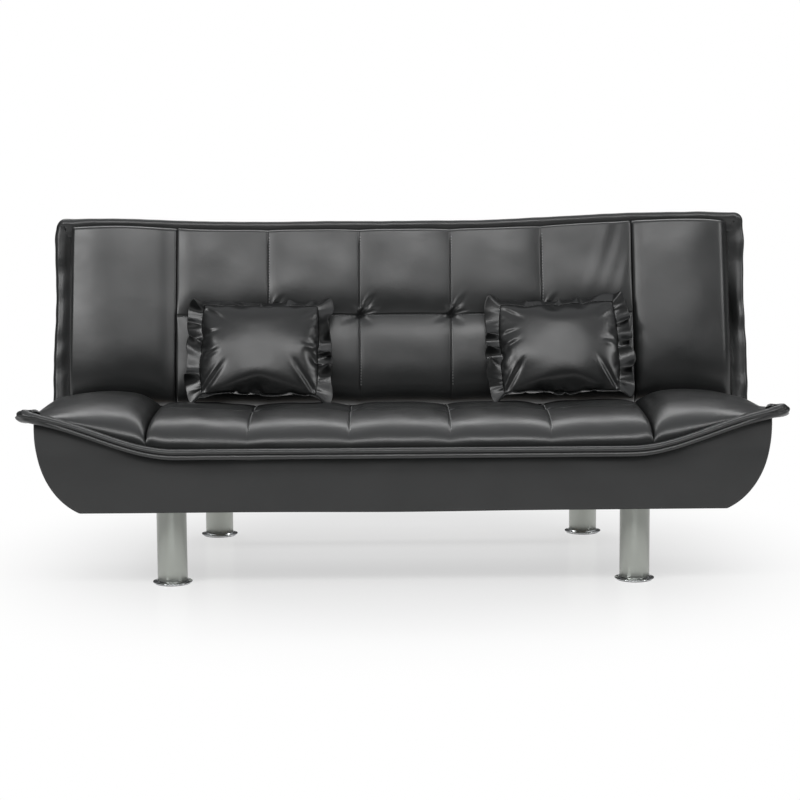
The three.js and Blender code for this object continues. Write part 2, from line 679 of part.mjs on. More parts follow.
// Timber frame of the backrest.
const BACK_FRAME_Z = [-90, BACK_BED - 8];
const bottomRailY = [25, 25 + BOARD];
const topRailY = [PAD_END - 16 - BOARD, PAD_END - 16];
const stileY = [bottomRailY[1] + GAP, topRailY[0] - GAP];
const armNotches = SIDES.map(([, side]) => {
  const x = side * (HINGE_X - 2);
  return block([x - 6, x + 6], [0, bottomRailY[1] + 5], [BACK_FRAME_Z[0] + 12, 0]);
});
const bottomRail = cut(block([-850, 850], bottomRailY, BACK_FRAME_Z), ...armNotches);
add(backrest, "back_bottom_rail", bottomRail, timber);
add(backrest, "back_top_rail", block([-850, 850], topRailY, BACK_FRAME_Z), timber);
add(backrest, "back_centre_stile", block([-BOARD / 2, BOARD / 2], stileY, BACK_FRAME_Z), timber);
for (const [name, side] of SIDES) {
  const outer = side * (HINGE_X - PLATE - 2 * GAP);
  const hingeSpan = [outer, outer - side * BOARD].sort((a, b) => a - b);
  add(backrest, `back_hinge_stile_${name}`, block(hingeSpan, stileY, BACK_FRAME_Z), timber);
  const endSpan = [side * 850, side * (850 - BOARD)].sort((a, b) => a - b);
  add(backrest, `back_end_stile_${name}`, block(endSpan, stileY, BACK_FRAME_Z), timber);
}

// Elastic webbing, woven across the frame's front.
function backWebbing() {
  const strap = 60;
  const z = [BACK_FRAME_Z[1] + GAP, BACK_FRAME_Z[1] + 3];
  const long = [130, 230, 330].map((y) => block([-840, 840], [y - strap / 2, y + strap / 2], z));
  const cross = [-3, -2, -1, 0, 1, 2, 3].map((column) => {
    const x = column * PANEL_PITCH;
    return block([x - strap / 2, x + strap / 2], [26, 436], z);
  });
  return join(long[0], ...cross, long[1], long[2]);
}

add(backrest, "back_webbing", backWebbing(), webbingFabric);

// ---- Pillows: stuffed inserts in zipped covers with a gathered frill ----
const PILLOW_CORE = 50; // half its thickness, next to nothing at the frill
const FRILL = 34;
const FRILL_HALF = 5;
const PILLOW_REST_Y = PILLOW_HEIGHT / 2 + 12; // along the backrest from the hinge axis
const PILLOW_REST_Z = FACE_RISE + PILLOW_CORE + 3; // in front of the hinge axis

function pillowShape(shrink, coreHalf, frill) {
  const spread = (half) => [-half, -half + FRILL, -half + FRILL + 12, -half * 0.55, 0];
  const list = (half) => {
    const low = spread(half);
    return [...low, ...low.slice(0, -1).reverse().map((v) => -v)];
  };
  const w = PILLOW_WIDTH / 2 - shrink;
  const h = PILLOW_HEIGHT / 2 - shrink;
  const thickness = (x, y) => {
    const u = Math.min(1, Math.abs(x) / (w - frill));
    const v = Math.min(1, Math.abs(y) / (h - frill));
    const edge = frill ? FRILL_HALF : 1;
    return edge + (coreHalf - FRILL_HALF) * Math.sqrt((1 - u ** 2.4) * (1 - v ** 2.4));
  };
  return slab(list(w), list(h), (x, y) => -thickness(x, y), thickness);
}

const pillowInsert = (clearance) => pillowShape(FRILL + 2 + clearance, PILLOW_CORE - SKIN - clearance, 0);

function pillowCover() {
  const zipSlit = block([-110, 110], [-PILLOW_HEIGHT / 2 - 5, -PILLOW_HEIGHT / 2 + FRILL + 20], [-0.8, 0.8]);
  return cut(pillowShape(0, PILLOW_CORE, FRILL), pillowInsert(0), zipSlit);
}

SIDES.forEach(([name], index) => {
  const pillow = new THREE.Group();
  pillow.position.set(PILLOW_X[index], PILLOW_REST_Y, PILLOW_REST_Z);
  backrest.add(pillow);
  add(pillow, `pillow_cover_${name}`, pillowCover(), leatherette);
  add(pillow, `pillow_insert_${name}`, pillowInsert(1.5), foam);
});

// The origin is the middle of the footprint, on the floor.
sofa.updateMatrixWorld(true);
const extent = new THREE.Box3().setFromObject(sofa, true);
const centre = extent.getCenter(new THREE.Vector3());
sofa.position.set(-centre.x, -centre.y, -extent.min.z);

export default sofa;
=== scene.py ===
import json
import math

import bpy
import numpy as np
from mathutils import Euler, Matrix, Vector


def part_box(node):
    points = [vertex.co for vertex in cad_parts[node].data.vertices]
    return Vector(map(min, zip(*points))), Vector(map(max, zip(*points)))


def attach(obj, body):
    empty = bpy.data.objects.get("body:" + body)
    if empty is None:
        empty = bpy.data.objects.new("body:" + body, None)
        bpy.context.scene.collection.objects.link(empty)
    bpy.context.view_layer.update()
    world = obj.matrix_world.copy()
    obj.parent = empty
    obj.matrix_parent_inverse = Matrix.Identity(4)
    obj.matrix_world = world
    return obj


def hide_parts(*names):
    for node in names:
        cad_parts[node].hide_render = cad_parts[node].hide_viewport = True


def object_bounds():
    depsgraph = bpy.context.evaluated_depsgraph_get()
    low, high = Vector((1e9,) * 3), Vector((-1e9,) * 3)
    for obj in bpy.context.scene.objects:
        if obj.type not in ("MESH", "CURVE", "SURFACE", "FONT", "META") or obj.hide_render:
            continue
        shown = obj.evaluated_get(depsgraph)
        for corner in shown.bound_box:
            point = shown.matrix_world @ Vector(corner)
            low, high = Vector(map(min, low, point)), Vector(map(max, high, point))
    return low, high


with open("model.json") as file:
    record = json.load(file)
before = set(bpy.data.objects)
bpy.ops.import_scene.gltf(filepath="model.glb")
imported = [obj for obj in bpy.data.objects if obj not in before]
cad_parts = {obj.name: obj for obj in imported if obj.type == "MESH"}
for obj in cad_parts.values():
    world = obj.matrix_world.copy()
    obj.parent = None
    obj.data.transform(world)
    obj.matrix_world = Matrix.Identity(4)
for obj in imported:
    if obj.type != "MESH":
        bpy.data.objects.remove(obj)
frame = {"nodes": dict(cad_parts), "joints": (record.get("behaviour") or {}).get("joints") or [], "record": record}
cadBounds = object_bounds()
scene = bpy.context.scene
print("frame loaded")

# Lengths in the dictionaries below are millimetres.
# Seat coordinates: x across, y back from the lip's front edge, z up from the floor.
# Back coordinates: x across, y up the backrest from the hinge axis, z out of its face.
mm = 0.001
hinge = next(j for j in frame["joints"] if j["name"] == "backrest_hinge")
pivot = Vector(hinge["pos_m"])
seatPlace = Matrix.Translation((0, cadBounds[0][1], 0))
backLean = math.radians(18)
backPlace = Matrix.Translation(pivot) @ Matrix.Rotation(math.pi / 2 - backLean, 4, "X")


def smoothstep(v, low, high):
    t = np.clip((np.asarray(v, float) - low) / (high - low), 0, 1)
    return t * t * (3 - 2 * t)


def ripple(x, y, seed, length):
    # Smooth irregular waves, about -1 to 1, of roughly the given length.
    rng = np.random.default_rng(seed)
    total = 0
    for _ in range(6):
        angle = rng.uniform(-math.pi, math.pi)
        wave = 2 * math.pi / (length * rng.uniform(0.65, 1.6))
        total = total + np.sin(wave * (x * math.cos(angle) + y * math.sin(angle)) + rng.uniform(0, 6.28))
    return total / 3.0


def makePiece(name, points, faces, place, material, body):
    mesh = bpy.data.meshes.new(name)
    mesh.from_pydata([tuple(p) for p in points * mm], [], faces)
    mesh.transform(place)
    mesh.materials.append(material)
    mesh.polygons.foreach_set("use_smooth", [True] * len(mesh.polygons))
    mesh.update()
    piece = bpy.data.objects.new(name.replace(" ", "_"), mesh)
    scene.collection.objects.link(piece)
    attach(piece, body)
    return piece


def gridFaces(rows, columns, wrapRows=False, wrapColumns=False, flip=False):
    faces = []
    for r in range(rows if wrapRows else rows - 1):
        for c in range(columns if wrapColumns else columns - 1):
            a = r * columns + c
            b = r * columns + (c + 1) % columns
            d = ((r + 1) % rows) * columns + c
            e = ((r + 1) % rows) * columns + (c + 1) % columns
            faces.append((a, d, e, b) if flip else (a, b, e, d))
    return faces


def rolledRise(values, low, high, rollLow, rollHigh):
    # How far a cushion has risen round its rolled edges, from 0 to 1.
    first = np.clip((values - low) / rollLow, 0, 1)
    last = np.clip((high - values) / rollHigh, 0, 1)
    return np.sqrt(1 - (1 - first) ** 3) * np.sqrt(1 - (1 - last) ** 3)


def rolledAxis(low, high, rollLow, rollHigh, step, seams=(), turns=14):
    # Values along one axis of a cushion, close together round its edges and seams, and the rise at each.
    angles = np.linspace(0, math.pi / 2, turns)
    near = low + rollLow * (1 - np.cos(angles))
    far = high - rollHigh * (1 - np.cos(angles[::-1]))
    middle = list(np.arange(near[-1] + step, far[0] - step / 2, step))
    for seam in seams:
        for offset in (0, 0.8, 1.8, 3.2, 5, 8, 12):
            middle += [seam - offset, seam + offset]
    middle = np.array(sorted(v for v in middle if low + 1 < v < high - 1))
    values = np.concatenate([near, middle, far])
    values = np.unique(np.round(values, 3))
    keep = np.concatenate([[True], np.diff(values) > 0.25])
    values = values[keep]
    return values, rolledRise(values, low, high, rollLow, rollHigh)


def cushion(name, xAxis, yAxis, base, top, skirt, place, material, body, flip=False, lift=None):
    # A padded panel over a grid. base and top give heights, and the skirt drops from its edge to close it.
    # lift moves its points along y.
    xs, riseX = xAxis
    ys, riseY = yAxis
    x, y = np.meshgrid(xs, ys)
    rise = np.outer(riseY, riseX)
    low = base(x, y)
    z = low + (top(x, y) - low) * rise
    if lift:
        y = y + lift(x, y)
    x = np.pad(x, 1, mode="edge")
    y = np.pad(y, 1, mode="edge")
    z = np.pad(z, 1, mode="edge")
    edge = np.zeros_like(z, bool)
    edge[[0, -1], :] = True
    edge[:, [0, -1]] = True
    z[edge] -= skirt
    points = np.stack([x, y, z], -1).reshape(-1, 3)
    return makePiece(name, points, gridFaces(*x.shape, flip=flip), place, material, body)


def crease(x, y, spot, angle, length, width, depth):
    # A fold that runs out from a tuft and fades, with a raised fold beside it.
    dx, dy = x - spot[0], y - spot[1]
    c, s = math.cos(math.radians(angle)), math.sin(math.radians(angle))
    along = dx * c + dy * s
    across = -dx * s + dy * c
    fade = smoothstep(along, -2, 10) * (1 - smoothstep(along, length * 0.35, length))
    fold = 0.7 * np.exp(-(((across - 1.7 * width) / width) ** 2))
    return fade * depth * (fold - np.exp(-((across / width) ** 2)))


def swell(distance, half, power):
    return 1 - (1 - np.clip(distance / half, 0, 1)) ** power


def seamDistance(values, seams):
    return np.min([np.abs(values - seam) for seam in seams], axis=0)


stitch = {"pitch": 7.5, "length": 5.2, "width": 1.3, "height": 0.8, "offset": 3.4}


def stitching(name, lines, surface, place, material, body):
    # Rows of thread stitches along straight lines, each given by two points, lying on a surface.
    rings = []
    for start, end in lines:
        start, end = np.array(start, float), np.array(end, float)
        length = np.linalg.norm(end - start)
        along = (end - start) / length
        across = np.array([-along[1], along[0]])
        count = int(length / stitch["pitch"])
        middles = start + along * (np.arange(count)[:, None] + 0.5) * stitch["pitch"]
        for reach, scale, lower in ((-0.5, 0.35, -0.4), (-0.25, 1, 0.3), (0.25, 1, 0.3), (0.5, 0.35, -0.4)):
            spot = middles + along * reach * stitch["length"]
            ring = []
            for side, rise in ((-0.5, 0), (0, 1), (0.5, 0), (0, -1)):
                edge = spot + across * side * scale * stitch["width"]
                spots = surface(edge[:, 0], edge[:, 1])
                spots[:, 2] += lower + rise * scale * stitch["height"] / 2
                ring.append(spots)
            rings.append(np.stack(ring, 1))
    points, faces = [], []
    for k in range(0, len(rings), 4):
        threads = np.stack(rings[k : k + 4], 1)
        for thread in threads:
            base = 16 * len(points)
            points.append(thread.reshape(16, 3))
            faces += [tuple(base + i for i in face) for face in gridFaces(4, 4, wrapColumns=True, flip=True)]
            faces += [(base, base + 1, base + 2, base + 3), (base + 15, base + 14, base + 13, base + 12)]
    return makePiece(name, np.concatenate(points), faces, place, material, body)


def linear(code):
    channels = [int(code[i : i + 2], 16) / 255 for i in (1, 3, 5)]
    return [c / 12.92 if c <= 0.04045 else ((c + 0.055) / 1.055) ** 2.4 for c in channels] + [1]


def addNode(tree, kind, settings=None, **links):
    # Adds a node, sets its properties and input values, and links the outputs given to its inputs.
    node = tree.nodes.new(kind)
    for key, value in (settings or {}).items():
        if key in node.inputs:
            node.inputs[key].default_value = value
        else:
            setattr(node, key, value)
    for key, output in links.items():
        tree.links.new(output, node.inputs[key.replace("_", " ")])
    return node


def newMaterial(name, **settings):
    material = bpy.data.materials.new(name)
    material.use_nodes = True
    shader = material.node_tree.nodes["Principled BSDF"]
    for key, value in settings.items():
        shader.inputs[key.replace("_", " ")].default_value = value
    return material, material.node_tree, shader


def leatherette(name, color, roughness, coat, crumple):
    # Embossed and calendered PU film: pebbled grain about 1 mm across, under soft hand-sized undulations.
    material, tree, shader = newMaterial(
        name, Base_Color=linear(color), Roughness=roughness, Coat_Weight=coat, Coat_Roughness=roughness * 0.75
    )
    place = addNode(tree, "ShaderNodeTexCoord").outputs["Object"]
    grain = addNode(tree, "ShaderNodeTexVoronoi", {"feature": "SMOOTH_F1", "Scale": 900.0}, Vector=place)
    uneven = {"Scale": 22.0, "Detail": 4.0, "Roughness": 0.5}
    folds = addNode(tree, "ShaderNodeTexNoise", uneven, Vector=place)
    rub = addNode(tree, "ShaderNodeTexNoise", {"Scale": 9.0, "Detail": 4.0}, Vector=place)
    sheen = addNode(
        tree,
        "ShaderNodeMapRange",
        {"From Min": 0.35, "From Max": 0.65, "To Min": roughness * 0.9, "To Max": roughness * 1.15},
        Value=rub.outputs["Fac"],
    )
    tree.links.new(sheen.outputs["Result"], shader.inputs["Roughness"])
    soft = addNode(
        tree, "ShaderNodeBump", {"Strength": crumple, "Distance": 0.004}, Height=folds.outputs["Fac"]
    )
    fine = addNode(
        tree,
        "ShaderNodeBump",
        {"Strength": 0.22, "Distance": 0.0002},
        Height=grain.outputs["Distance"],
        Normal=soft.outputs["Normal"],
    )
    tree.links.new(fine.outputs["Normal"], shader.inputs["Normal"])
    return material


sofaLeather = leatherette("black PU leatherette", "#191a1a", 0.34, 0.1, 0.13)
boxLeather = leatherette("black PU leatherette, stretched", "#1d1e1e", 0.46, 0.05, 0.1)
lipLeather = leatherette("black PU leatherette, folded", "#191a1a", 0.36, 0.15, 0.3)
pillowLeather = leatherette("glossy black PU leatherette", "#121313", 0.31, 0.07, 0.16)

# Drawn tube, bead-blasted and lacquered: an even satin that carries long soft reflections.
satinSteel, _, _ = newMaterial(
    "satin lacquered steel tube", Base_Color=linear("#a9aca6"), Metallic=0.85, Roughness=0.36
)
# Spun plate, buffed and chromed: mirror-bright round the edge.
chrome, _, _ = newMaterial("chromed steel plate", Base_Color=linear("#d8dadb"), Metallic=1.0, Roughness=0.08)
# Powder coat over rolled tube: fine orange peel and a dull highlight.
powderCoat, _, _ = newMaterial("black powder-coated steel", Base_Color=linear("#17181a"), Roughness=0.48)
# Stamped strip, zinc-plated: cool grey with a slight yellow bloom.
zincPlate, _, _ = newMaterial(
    "zinc-plated stamped steel", Base_Color=linear("#a7a89f"), Metallic=1.0, Roughness=0.34
)
# Moulded rubber: dead black, no clear highlight.
blackRubber, _, _ = newMaterial("moulded black rubber", Base_Color=linear("#141414"), Roughness=0.8)
# Woven elastic: dull cloth.
elastic, _, _ = newMaterial("woven elastic webbing", Base_Color=linear("#1d1d1f"), Roughness=0.9)
# Bonded polyester thread with a slight sheen. Its grey is lightened far above the hide's to paint the highlight
# that runs along each seam's edge.
thread, _, _ = newMaterial("light thread, painted seam highlight", Base_Color=linear("#8f9090"), Roughness=0.5)
# Slab-stock foam.
creamFoam, _, _ = newMaterial("slab-stock foam", Base_Color=linear("#e6dcc0"), Roughness=0.95)


def sawnPine():
    # Sawn and planed pine: growth rings about 8 mm apart, drawn out along the board.
    material, tree, shader = newMaterial("sawn pine", Roughness=0.72)
    place = addNode(tree, "ShaderNodeTexCoord").outputs["Object"]
    stretch = addNode(tree, "ShaderNodeMapping", {"Scale": (1.5, 30.0, 30.0)}, Vector=place)
    rings = addNode(
        tree,
        "ShaderNodeTexNoise",
        {"Scale": 4.0, "Detail": 5.0, "Distortion": 1.2},
        Vector=stretch.outputs["Vector"],
    )
    mix = addNode(tree, "ShaderNodeMix", {"data_type": "RGBA"}, Factor=rings.outputs["Fac"])
    mix.inputs["A"].default_value = linear("#d2ab76")
    mix.inputs["B"].default_value = linear("#a97a45")
    tree.links.new(mix.outputs["Result"], shader.inputs["Base Color"])
    return material


pine = sawnPine()

finishes = {
    "timber": pine,
    "foam": creamFoam,
    "black_steel": powderCoat,
    "zinc_steel": zincPlate,
    "satin_steel": satinSteel,
    "chrome": chrome,
    "rubber": blackRubber,
    "webbing": elastic,
    "leatherette": sofaLeather,
}
for part in frame["record"]["subparts"]:
    node = frame["nodes"][part["node"]]
    node.data.materials.clear()
    node.data.materials.append(finishes[part["material_slot"]])


def softenEdges(piece, width):
    bevel = piece.modifiers.new("softened edges", "BEVEL")
    bevel.width = width * mm
    bevel.segments = 2
    bevel.limit_method = "ANGLE"
    bevel.angle_limit = math.radians(40)


softened = {"timber": 1.5, "black_steel": 0.5, "zinc_steel": 0.4, "rubber": 0.6}  # edge widths
for part in frame["record"]["subparts"]:
    if part["material_slot"] in softened and "spring" not in part["node"]:
        softenEdges(frame["nodes"][part["node"]], softened[part["material_slot"]])
print("materials made")

seat = {
    "rim": 347,  # height of the lip's middle, at the middle of the sofa
    "rimRise": 92,
    "rimStraight": 545,
    "rearDrop": 0.75,  # share of that rise lost at the rear
    "halfWidth": 900,
    "rear": 513,
    "pitch": 244,
    "middle": -9,  # the quilted field is sewn this far off centre
    "rowSeam": 292,
    "crown": 423,
    "wingCrown": {"left": 457, "right": 451},
    "wingPeak": {"left": 742, "right": 712},
    "puff": 9,
    "tuftDepth": 16,
    "skirt": 48,  # how far the field's edge drops to close it
    "wingSkirt": 14,
    "creases": [(40, 60, 4, 2.5), (200, 45, 4, 2.0), (318, 50, 4, 2.0)],  # angle, length, width, depth
}
seatSeams = [seat["middle"] + k * seat["pitch"] for k in (-1.5, -0.5, 0.5, 1.5)]
seatBorders = [seat["middle"] + k * seat["pitch"] for k in (-2.5, 2.5)]


def rimHeight(x, y=0):
    # The rim climbs towards the two ends, and falls off there towards the rear.
    climb = seat["rimRise"] * smoothstep(np.abs(x), seat["rimStraight"], 930)
    return seat["rim"] + climb * (1 - seat["rearDrop"] * np.clip(y / seat["rear"], 0, 1))


def quilting(x, y, field, seams, borders, ends):
    # The relief of a quilted field: swollen panels, sewn-down seams, and a tuft at each crossing.
    row = field["rowSeam"]
    columnGap = seamDistance(x, seams + borders)
    rowGap = np.abs(y - row)
    relief = field["puff"] * (swell(columnGap, 115, 3.2) * swell(rowGap, 110, 3.0) - 1)
    within = smoothstep(y, ends[0], ends[0] + 25) * (1 - smoothstep(y, ends[1] - 25, ends[1]))
    inner = seamDistance(x, seams)
    relief -= 2.4 * np.exp(-((inner / 1.7) ** 2)) * (0.35 + 0.65 * within)
    relief -= 2.4 * np.exp(-((rowGap / 1.9) ** 2))
    for column in seams:
        r = np.hypot(x - column, (y - row) * 1.15)
        relief -= field["tuftDepth"] * (0.62 * np.exp(-((r / 30) ** 1.4)) + 0.38 * np.exp(-((r / 9) ** 2)))
        for angle, length, width, depth in field["creases"]:
            relief += crease(x, y, (column, row), angle, length, width, depth)
    return relief


def seatTop(x, y):
    fall = 17 * smoothstep(y, 280, 500)
    side = 6 * smoothstep(np.abs(x), 420, 605)
    relief = quilting(x, y, seat, seatSeams, seatBorders, (60, 500))
    return seat["crown"] + side - fall + relief + 0.9 * ripple(x, y, 3, 120)


seatSides = (seatBorders[0] + 0.5, seatBorders[1] - 0.5, 26, 26)
seatEnds = (38, seat["rear"], 215, 62)


def seatBed(x, y):
    seam = 30 * np.exp(-((seamDistance(x, seatBorders) / 30) ** 2)) * rolledRise(y, *seatEnds)
    return rimHeight(x, y) + 12 + seam


def seatSurface(x, y):
    low = seatBed(x, y)
    z = low + (seatTop(x, y) - low) * rolledRise(x, *seatSides) * rolledRise(y, *seatEnds)
    return np.stack([x, y, z], -1)


seatField = cushion(
    "seat quilted field",
    rolledAxis(*seatSides, 7, seatSeams),
    rolledAxis(*seatEnds, 7, [seat["rowSeam"]], 26),
    seatBed,
    seatTop,
    seat["skirt"],
    seatPlace,
    sofaLeather,
    "base",
)
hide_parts("seat_cover", "seat_foam")


off = stitch["offset"]
seatStitches = stitching(
    "seat stitching",
    [((x + off, 70), (x + off, seat["rowSeam"] - 12)) for x in seatSeams]
    + [((x + off, seat["rowSeam"] + 12), (x + off, 455)) for x in seatSeams]
    + [((x0 + 14, seat["rowSeam"] - off), (x1 - 14, seat["rowSeam"] - off))
       for x0, x1 in zip([seatBorders[0] + 24] + seatSeams, seatSeams + [seatBorders[1] - 24])],
    seatSurface,
    seatPlace,
    thread,
    "base",
)


def seatWingTop(x, y):
    side = np.where(x < 0, "left", "right").flat[0]
    away = np.abs(x) - seat["wingPeak"][side]
    fall = 16 * smoothstep(y, 280, 500) + np.where(away > 0, 0.0009, 0.0014) * away**2
    return seat["wingCrown"][side] - fall + 1.2 * ripple(x, y, 5, 150)


def seatWingBed(x, y):
    # The pads are sewn to the quilted field well above their beds.
    seam = 30 * np.exp(-((seamDistance(x, seatBorders) / 35) ** 2)) * rolledRise(y, *seatEnds)
    return rimHeight(x, y) + 10 + seam


for side, sign in (("left", -1), ("right", 1)):
    inner, outer = abs(seatBorders[0 if sign < 0 else 1]) + 0.5, seat["halfWidth"]
    span = (inner, outer, 70, 62) if sign > 0 else (-outer, -inner, 62, 70)
    wing = cushion(
        f"seat end pad {side}",
        rolledAxis(*span, 7, (), 18),
        rolledAxis(38, seat["rear"], 260, 90, 7, (), 24),
        seatWingBed,
        seatWingTop,
        seat["wingSkirt"],
        seatPlace,
        sofaLeather,
        "base",
    )

# The upright rear of the seat cover, behind the three pads.
bandX = np.linspace(-884, 884, 60)
bandTop = np.minimum(rimHeight(bandX, 500) + 46, 398) - 16 * smoothstep(np.abs(bandX), 858, 884)
bandRows = []
for t in np.linspace(0, 1, 6):
    bandRows.append(np.stack([bandX, np.full(60, 508.0), bandTop * t + 332 * (1 - t)], -1))
bandRows.append(np.stack([bandX, np.full(60, 500.0), bandTop + 1], -1))
seatBand = makePiece(
    "seat rear band", np.concatenate(bandRows), gridFaces(7, 60, flip=True), seatPlace, sofaLeather, "base"
)

# Welts are folded strips that run round the seat's and the backrest's edges.
def sweep(name, path, outward, upward, section, place, material, body):
    # path, outward and upward have one row per step, and section has outward and upward offsets at each.
    across, above = section[:, :, :1], section[:, :, 1:]
    points = path[:, None, :] + across * outward[:, None, :] + above * upward[:, None, :]
    steps, around = section.shape[:2]
    faces = gridFaces(steps, around, wrapColumns=True)
    faces.append(tuple(range(around))[::-1])
    faces.append(tuple((steps - 1) * around + k for k in range(around)))
    return makePiece(name, points.reshape(-1, 3), faces, place, material, body)


def roundedPath(corners, radius, step):
    # Points along straight runs with rounded corners, and each point's left-hand normal, in the plane.
    corners = [np.array(c, float) for c in corners]
    spots, normals = [], []

    def run(start, end):
        length = np.linalg.norm(end - start)
        direction = (end - start) / length
        for k in range(max(2, int(length / step))):
            spots.append(start + direction * length * k / max(2, int(length / step)))
            normals.append(np.array([-direction[1], direction[0]]))

    here = corners[0]
    for before, corner, after in zip(corners, corners[1:], corners[2:]):
        into = (corner - before) / np.linalg.norm(corner - before)
        away = (after - corner) / np.linalg.norm(after - corner)
        start, end = corner - into * radius, corner + away * radius
        run(here, start)
        leftIn = np.array([-into[1], into[0]])
        turn = math.copysign(1, into[0] * away[1] - into[1] * away[0])
        centre = start + leftIn * radius * turn
        base = math.atan2(*(start - centre)[::-1])
        for k in range(14):
            angle = base + turn * math.pi / 2 * k / 14
            arm = np.array([math.cos(angle), math.sin(angle)])
            spots.append(centre + arm * radius)
            normals.append(-arm * turn)
        here = end
    run(here, corners[-1])
    spots.append(corners[-1])
    normals.append(normals[-1])
    return np.array(spots), np.array(normals)


def smoothLoop(points, count):
    # A closed curve through the points, evenly sampled.
    points = np.array(points, float)
    n = len(points)
    t = np.arange(count) * n / count
    i = t.astype(int)
    f = (t - i)[:, None]
    p0, p1, p2, p3 = (points[(i + k) % n] for k in (-1, 0, 1, 2))
    bent = (2 * p0 - 5 * p1 + 4 * p2 - p3) * f**2 + (3 * p1 - p0 - 3 * p2 + p3) * f**3
    return 0.5 * (2 * p1 + (p2 - p0) * f + bent)


seatLip = {
    "halfWidth": 915,
    "rear": 500,
    "corner": 26,
    "tipLift": 7,
    "tipOut": 5,
    "tipGrow": 0.28,
    "tipFolds": 3.0,
    "sideFolds": 1.2,
}
lipSection = smoothLoop(
    [(-50, 8), (-28, 10), (-12, 12.5), (-3, 11.5), (1.5, 6.5), (-1, 1.5), (-3.5, 0), (-1.5, -2), (0.5, -6.5)]
    + [(-4, -11.5), (-12, -12), (-28, -9), (-50, -7)],
    52,
)
# At the two front corners its fold opens into a soft round loop.
tipSection = smoothLoop(
    [(-50, 8), (-28, 10), (-12, 12), (-3, 11), (3, 7), (5, 2.5), (5.5, 0), (5, -2.5), (3, -7)]
    + [(-4, -11), (-12, -11.5), (-28, -9), (-50, -7)],
    52,
)


def makeSeatLip():
    half, rear = seatLip["halfWidth"], seatLip["rear"]
    plan, normals = roundedPath([(-half, rear), (-half, 0), (half, 0), (half, rear)], seatLip["corner"], 6)
    normals = -normals
    x, y = plan[:, 0], plan[:, 1]
    tip = np.exp(-((np.hypot(np.abs(x) - half, y) / 38) ** 2))
    sideRun = smoothstep(y, 30, 120)
    height = rimHeight(x, y) + seatLip["tipLift"] * tip
    along = np.cumsum(np.r_[0, np.hypot(np.diff(x), np.diff(y))])
    out = seatLip["tipOut"] * tip
    path = np.stack([x + normals[:, 0] * out, y + normals[:, 1] * out, height], -1)
    outward = np.stack([normals[:, 0], normals[:, 1], np.zeros_like(x)], -1)
    upward = np.tile([0.0, 0.0, 1.0], (len(x), 1))
    grow = 1 + seatLip["tipGrow"] * tip
    opening = np.exp(-((np.hypot(np.abs(x) - half, y) / 75) ** 2))[:, None, None]
    section = lipSection * (1 - opening) + tipSection * opening
    section = section * np.stack([np.ones_like(grow), grow], -1)[:, None, :]
    part = np.arange(lipSection.shape[0])[None, :] * 0.35
    outer = smoothstep(lipSection[:, 0], -30, -5)[None, :]
    wobble = 0.5 * ripple(along[:, None], part * 3, 11, 80)
    wobble = wobble + seatLip["tipFolds"] * tip[:, None] * ripple(along[:, None] * 2, part * 9, 12, 50)
    wobble = wobble + seatLip["sideFolds"] * sideRun[:, None] * ripple(along[:, None], part * 9, 13, 45)
    section = section + (wobble * outer)[..., None] * np.array([0.8, 0.5])
    return sweep("seat welt", path, outward, upward, section, seatPlace, lipLeather, "base")


welt = makeSeatLip()
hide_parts("seat_lip")

box = {"bottom": 197, "front": 33, "rake": 26, "rear": 507, "endCentre": (729, 390), "endRadii": (151, 206)}


def makeBox():
    # The outline runs from the left rim, round the left end, along the bottom and up to the right rim.
    cx, cz = box["endCentre"]
    rx, rz = box["endRadii"]
    drop = math.asin((cz - box["bottom"]) / rz)
    angles = np.linspace(0, drop, 40)
    end = np.stack([cx + rx * np.cos(angles), cz - rz * np.sin(angles)], -1)
    rise = np.stack([np.full(4, cx + rx), np.linspace(rimHeight(cx + rx) - 4, cz + 6, 4)], -1)
    half = np.concatenate([rise, end])
    flat = np.linspace(half[-1, 0], 0, 60)[1:]
    half = np.concatenate([half, np.stack([flat, np.full(len(flat), box["bottom"])], -1)])
    outline = np.concatenate([half * [-1, 1], half[-2::-1]])
    # Rows: up the front panel to its rim, then over a small rounded seam and back to the rear.
    rows = []
    top = lambda x: rimHeight(x) - 3
    for t in np.linspace(1, 0, 22):
        z = outline[:, 1] + (top(outline[:, 0]) - outline[:, 1]) * t
        rows.append(np.stack([outline[:, 0], np.full(len(z), 0.0), z], -1))
    front = np.stack(rows)
    x, z = front[..., 0], front[..., 2]
    down = np.clip((seat["rim"] - z) / (seat["rim"] - box["bottom"]), -0.8, 1.05)
    belly = 7 * np.sin(np.clip(down, 0, 1) * math.pi)
    tuck = 11 * np.exp(-((np.clip(top(x) - z, 0, None) / 14) ** 2))  # drawn in under the lip
    front[..., 1] = box["front"] + tuck + box["rake"] * down - belly + 0.8 * ripple(x, z * 1.5, 21, 190)
    centre = np.array([0, box["bottom"] + 160])
    inward = outline - centre
    inward /= np.linalg.norm(inward, axis=1)[:, None]
    edge = front[-1]
    wrap = []
    for angle in np.linspace(0.2, 1, 5) * math.pi / 2:
        spot = edge.copy()
        spot[:, 1] += 7 * math.sin(angle)
        spot[:, [0, 2]] += inward * 3.5 * (1 - math.cos(angle))
        wrap.append(spot)
    back = []
    for t in np.linspace(0, 1, 24)[1:]:
        spot = wrap[-1].copy()
        spot[:, 1] += (box["rear"] - spot[:, 1]) * t
        spot[:, 2] = np.minimum(spot[:, 2], rimHeight(spot[:, 0], spot[:, 1]) - 3)
        back.append(spot)
    rear = back[-1].copy()
    rear[:, [0, 2]] -= inward * 6
    shell = np.concatenate([front, np.stack(wrap + back + [rear])])
    faces = gridFaces(*shell.shape[:2])
    return makePiece("seat box cover", shell.reshape(-1, 3), faces, seatPlace, boxLeather, "base")


boxCover = makeBox()
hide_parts("box_cover")
print("seat built")

